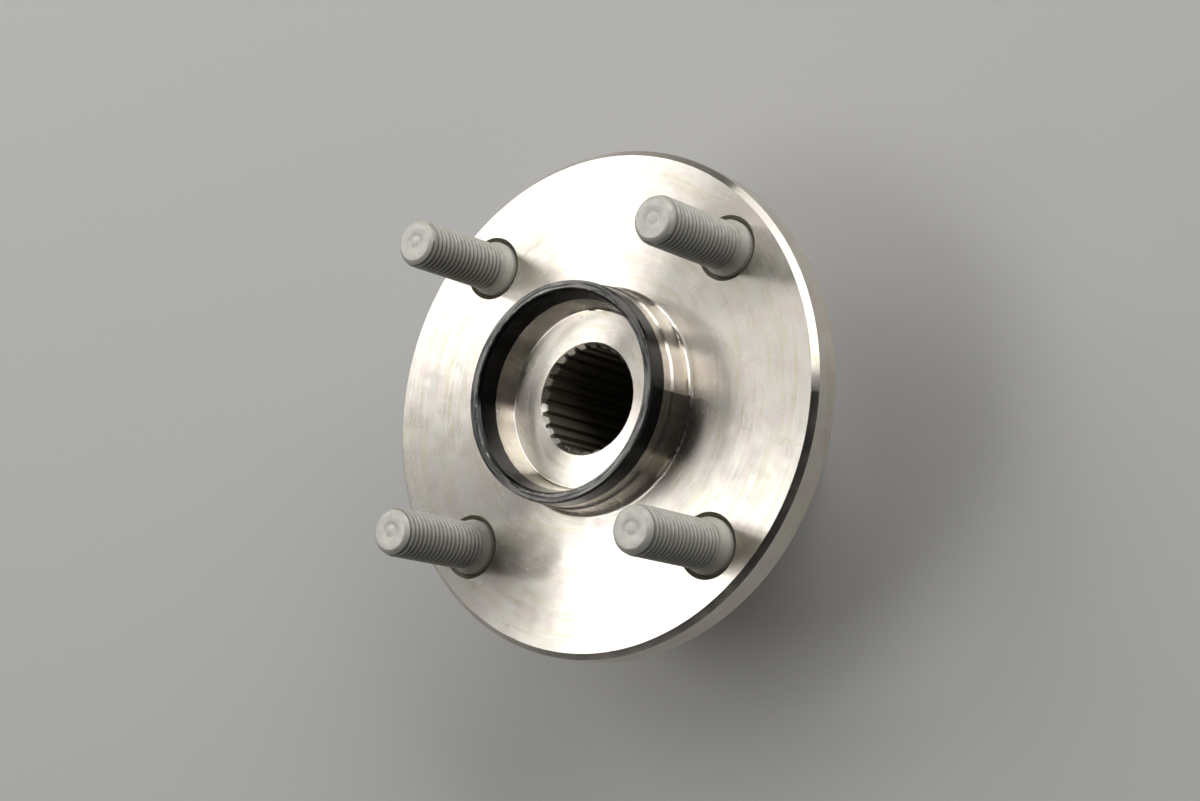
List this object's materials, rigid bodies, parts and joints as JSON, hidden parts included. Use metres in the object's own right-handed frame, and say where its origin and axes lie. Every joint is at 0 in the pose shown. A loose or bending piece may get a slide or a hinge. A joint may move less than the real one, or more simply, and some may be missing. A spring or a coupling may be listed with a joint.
{
  "type": "wheel hub bearing",
  "caption": "Flanged wheel hub with press-in studs, wheel and disc pilots and a splined bore, turning in a sealed double-row ball bearing with a plain cylindrical outer ring.",
  "frame": {"origin": "on the wheel's axis, in the plane of the face that the wheel and brake disc bolt to", "axes": "+Z along the axis, outboard towards the wheel; +X and +Y across it, each midway between two studs; the part stands on the bearing's inboard face"},
  "size_m": [0.125, 0.125, 0.0817],
  "materials": {
    "turned_forging": "lathe-turned forged steel; black paint on the pilot's nose",
    "coated_stud": "matt zinc-flake coated steel",
    "ground_race": "ground bearing steel",
    "polished_ball": "polished bearing steel",
    "pressed_sheet": "pressed sheet steel",
    "cage_polyamide": "moulded glass-filled polyamide",
    "seal_rubber": "moulded nitrile rubber"
  },
  "bodies": {
    "outer_ring": {"bearing_outer_ring": "ground_race", "outboard_seal_case": "pressed_sheet", "outboard_seal_lip": "seal_rubber", "inboard_seal_case": "pressed_sheet", "inboard_seal_lip": "seal_rubber"},
    "hub": {"hub_flange": "turned_forging", "wheel_stud_1": "coated_stud", "wheel_stud_2": "coated_stud", "wheel_stud_3": "coated_stud", "wheel_stud_4": "coated_stud", "inner_ring_clip": "pressed_sheet", "outboard_inner_ring": "ground_race", "outboard_seal_slinger": "pressed_sheet", "inboard_inner_ring": "ground_race", "inboard_seal_slinger": "pressed_sheet"},
    "outboard_cage": {"outboard_ball_cage": "cage_polyamide"},
    "outboard_ball_01": {"outboard_ball_01": "polished_ball"},
    "outboard_ball_02": {"outboard_ball_02": "polished_ball"},
    "outboard_ball_03": {"outboard_ball_03": "polished_ball"},
    "outboard_ball_04": {"outboard_ball_04": "polished_ball"},
    "outboard_ball_05": {"outboard_ball_05": "polished_ball"},
    "outboard_ball_06": {"outboard_ball_06": "polished_ball"},
    "outboard_ball_07": {"outboard_ball_07": "polished_ball"},
    "outboard_ball_08": {"outboard_ball_08": "polished_ball"},
    "outboard_ball_09": {"outboard_ball_09": "polished_ball"},
    "outboard_ball_10": {"outboard_ball_10": "polished_ball"},
    "outboard_ball_11": {"outboard_ball_11": "polished_ball"},
    "outboard_ball_12": {"outboard_ball_12": "polished_ball"},
    "outboard_ball_13": {"outboard_ball_13": "polished_ball"},
    "inboard_cage": {"inboard_ball_cage": "cage_polyamide"},
    "inboard_ball_01": {"inboard_ball_01": "polished_ball"},
    "inboard_ball_02": {"inboard_ball_02": "polished_ball"},
    "inboard_ball_03": {"inboard_ball_03": "polished_ball"},
    "inboard_ball_04": {"inboard_ball_04": "polished_ball"},
    "inboard_ball_05": {"inboard_ball_05": "polished_ball"},
    "inboard_ball_06": {"inboard_ball_06": "polished_ball"},
    "inboard_ball_07": {"inboard_ball_07": "polished_ball"},
    "inboard_ball_08": {"inboard_ball_08": "polished_ball"},
    "inboard_ball_09": {"inboard_ball_09": "polished_ball"},
    "inboard_ball_10": {"inboard_ball_10": "polished_ball"},
    "inboard_ball_11": {"inboard_ball_11": "polished_ball"},
    "inboard_ball_12": {"inboard_ball_12": "polished_ball"},
    "inboard_ball_13": {"inboard_ball_13": "polished_ball"}
  },
  "joints": [
    {"name": "hub_spin", "type": "hinge", "parent": "outer_ring", "child": "hub", "pos_m": [0, 0, 0], "axis": [0, 0, 1], "continuous": true},
    {"name": "outboard_cage_spin", "type": "hinge", "parent": "outer_ring", "child": "outboard_cage", "pos_m": [0, 0, -0.02591], "axis": [0, 0, 1], "continuous": true},
    {"name": "outboard_ball_01_roll", "type": "hinge", "parent": "outboard_cage", "child": "outboard_ball_01", "pos_m": [0.027, 0, -0.02591], "axis": [0.5878, 0, 0.809], "continuous": true},
    {"name": "outboard_ball_02_roll", "type": "hinge", "parent": "outboard_cage", "child": "outboard_ball_02", "pos_m": [0.02391, 0.01255, -0.02591], "axis": [0.5205, 0.2732, 0.809], "continuous": true},
    {"name": "outboard_ball_03_roll", "type": "hinge", "parent": "outboard_cage", "child": "outboard_ball_03", "pos_m": [0.01534, 0.02222, -0.02591], "axis": [0.3339, 0.4837, 0.809], "continuous": true},
    {"name": "outboard_ball_04_roll", "type": "hinge", "parent": "outboard_cage", "child": "outboard_ball_04", "pos_m": [0.00325, 0.0268, -0.02591], "axis": [0.0708, 0.5835, 0.809], "continuous": true},
    {"name": "outboard_ball_05_roll", "type": "hinge", "parent": "outboard_cage", "child": "outboard_ball_05", "pos_m": [-0.00957, 0.02525, -0.02591], "axis": [-0.2084, 0.5496, 0.809], "continuous": true},
    {"name": "outboard_ball_06_roll", "type": "hinge", "parent": "outboard_cage", "child": "outboard_ball_06", "pos_m": [-0.02021, 0.0179, -0.02591], "axis": [-0.44, 0.3898, 0.809], "continuous": true},
    {"name": "outboard_ball_07_roll", "type": "hinge", "parent": "outboard_cage", "child": "outboard_ball_07", "pos_m": [-0.02622, 0.00646, -0.02591], "axis": [-0.5707, 0.1407, 0.809], "continuous": true},
    {"name": "outboard_ball_08_roll", "type": "hinge", "parent": "outboard_cage", "child": "outboard_ball_08", "pos_m": [-0.02622, -0.00646, -0.02591], "axis": [-0.5707, -0.1407, 0.809], "continuous": true},
    {"name": "outboard_ball_09_roll", "type": "hinge", "parent": "outboard_cage", "child": "outboard_ball_09", "pos_m": [-0.02021, -0.0179, -0.02591], "axis": [-0.44, -0.3898, 0.809], "continuous": true},
    {"name": "outboard_ball_10_roll", "type": "hinge", "parent": "outboard_cage", "child": "outboard_ball_10", "pos_m": [-0.00957, -0.02525, -0.02591], "axis": [-0.2084, -0.5496, 0.809], "continuous": true},
    {"name": "outboard_ball_11_roll", "type": "hinge", "parent": "outboard_cage", "child": "outboard_ball_11", "pos_m": [0.00325, -0.0268, -0.02591], "axis": [0.0708, -0.5835, 0.809], "continuous": true},
    {"name": "outboard_ball_12_roll", "type": "hinge", "parent": "outboard_cage", "child": "outboard_ball_12", "pos_m": [0.01534, -0.02222, -0.02591], "axis": [0.3339, -0.4837, 0.809], "continuous": true},
    {"name": "outboard_ball_13_roll", "type": "hinge", "parent": "outboard_cage", "child": "outboard_ball_13", "pos_m": [0.02391, -0.01255, -0.02591], "axis": [0.5205, -0.2732, 0.809], "continuous": true},
    {"name": "inboard_cage_spin", "type": "hinge", "parent": "outer_ring", "child": "inboard_cage", "pos_m": [0, 0, -0.03849], "axis": [0, 0, 1], "continuous": true},
    {"name": "inboard_ball_01_roll", "type": "hinge", "parent": "inboard_cage", "child": "inboard_ball_01", "pos_m": [0.027, 0, -0.03849], "axis": [-0.5878, 0, 0.809], "continuous": true},
    {"name": "inboard_ball_02_roll", "type": "hinge", "parent": "inboard_cage", "child": "inboard_ball_02", "pos_m": [0.02391, 0.01255, -0.03849], "axis": [-0.5205, -0.2732, 0.809], "continuous": true},
    {"name": "inboard_ball_03_roll", "type": "hinge", "parent": "inboard_cage", "child": "inboard_ball_03", "pos_m": [0.01534, 0.02222, -0.03849], "axis": [-0.3339, -0.4837, 0.809], "continuous": true},
    {"name": "inboard_ball_04_roll", "type": "hinge", "parent": "inboard_cage", "child": "inboard_ball_04", "pos_m": [0.00325, 0.0268, -0.03849], "axis": [-0.0708, -0.5835, 0.809], "continuous": true},
    {"name": "inboard_ball_05_roll", "type": "hinge", "parent": "inboard_cage", "child": "inboard_ball_05", "pos_m": [-0.00957, 0.02525, -0.03849], "axis": [0.2084, -0.5496, 0.809], "continuous": true},
    {"name": "inboard_ball_06_roll", "type": "hinge", "parent": "inboard_cage", "child": "inboard_ball_06", "pos_m": [-0.02021, 0.0179, -0.03849], "axis": [0.44, -0.3898, 0.809], "continuous": true},
    {"name": "inboard_ball_07_roll", "type": "hinge", "parent": "inboard_cage", "child": "inboard_ball_07", "pos_m": [-0.02622, 0.00646, -0.03849], "axis": [0.5707, -0.1407, 0.809], "continuous": true},
    {"name": "inboard_ball_08_roll", "type": "hinge", "parent": "inboard_cage", "child": "inboard_ball_08", "pos_m": [-0.02622, -0.00646, -0.03849], "axis": [0.5707, 0.1407, 0.809], "continuous": true},
    {"name": "inboard_ball_09_roll", "type": "hinge", "parent": "inboard_cage", "child": "inboard_ball_09", "pos_m": [-0.02021, -0.0179, -0.03849], "axis": [0.44, 0.3898, 0.809], "continuous": true},
    {"name": "inboard_ball_10_roll", "type": "hinge", "parent": "inboard_cage", "child": "inboard_ball_10", "pos_m": [-0.00957, -0.02525, -0.03849], "axis": [0.2084, 0.5496, 0.809], "continuous": true},
    {"name": "inboard_ball_11_roll", "type": "hinge", "parent": "inboard_cage", "child": "inboard_ball_11", "pos_m": [0.00325, -0.0268, -0.03849], "axis": [-0.0708, 0.5835, 0.809], "continuous": true},
    {"name": "inboard_ball_12_roll", "type": "hinge", "parent": "inboard_cage", "child": "inboard_ball_12", "pos_m": [0.01534, -0.02222, -0.03849], "axis": [-0.3339, 0.4837, 0.809], "continuous": true},
    {"name": "inboard_ball_13_roll", "type": "hinge", "parent": "inboard_cage", "child": "inboard_ball_13", "pos_m": [0.02391, -0.01255, -0.03849], "axis": [-0.5205, 0.2732, 0.809], "continuous": true}
  ],
  "couplings": [
    {"joint": "outboard_cage_spin", "follows": "hub_spin", "ratio": 0.41676},
    {"joint": "outboard_ball_01_roll", "follows": "hub_spin", "ratio": -2.3623},
    {"joint": "outboard_ball_02_roll", "follows": "hub_spin", "ratio": -2.3623},
    {"joint": "outboard_ball_03_roll", "follows": "hub_spin", "ratio": -2.3623},
    {"joint": "outboard_ball_04_roll", "follows": "hub_spin", "ratio": -2.3623},
    {"joint": "outboard_ball_05_roll", "follows": "hub_spin", "ratio": -2.3623},
    {"joint": "outboard_ball_06_roll", "follows": "hub_spin", "ratio": -2.3623},
    {"joint": "outboard_ball_07_roll", "follows": "hub_spin", "ratio": -2.3623},
    {"joint": "outboard_ball_08_roll", "follows": "hub_spin", "ratio": -2.3623},
    {"joint": "outboard_ball_09_roll", "follows": "hub_spin", "ratio": -2.3623},
    {"joint": "outboard_ball_10_roll", "follows": "hub_spin", "ratio": -2.3623},
    {"joint": "outboard_ball_11_roll", "follows": "hub_spin", "ratio": -2.3623},
    {"joint": "outboard_ball_12_roll", "follows": "hub_spin", "ratio": -2.3623},
    {"joint": "outboard_ball_13_roll", "follows": "hub_spin", "ratio": -2.3623},
    {"joint": "inboard_cage_spin", "follows": "hub_spin", "ratio": 0.41676},
    {"joint": "inboard_ball_01_roll", "follows": "hub_spin", "ratio": -2.3623},
    {"joint": "inboard_ball_02_roll", "follows": "hub_spin", "ratio": -2.3623},
    {"joint": "inboard_ball_03_roll", "follows": "hub_spin", "ratio": -2.3623},
    {"joint": "inboard_ball_04_roll", "follows": "hub_spin", "ratio": -2.3623},
    {"joint": "inboard_ball_05_roll", "follows": "hub_spin", "ratio": -2.3623},
    {"joint": "inboard_ball_06_roll", "follows": "hub_spin", "ratio": -2.3623},
    {"joint": "inboard_ball_07_roll", "follows": "hub_spin", "ratio": -2.3623},
    {"joint": "inboard_ball_08_roll", "follows": "hub_spin", "ratio": -2.3623},
    {"joint": "inboard_ball_09_roll", "follows": "hub_spin", "ratio": -2.3623},
    {"joint": "inboard_ball_10_roll", "follows": "hub_spin", "ratio": -2.3623},
    {"joint": "inboard_ball_11_roll", "follows": "hub_spin", "ratio": -2.3623},
    {"joint": "inboard_ball_12_roll", "follows": "hub_spin", "ratio": -2.3623},
    {"joint": "inboard_ball_13_roll", "follows": "hub_spin", "ratio": -2.3623}
  ]
}
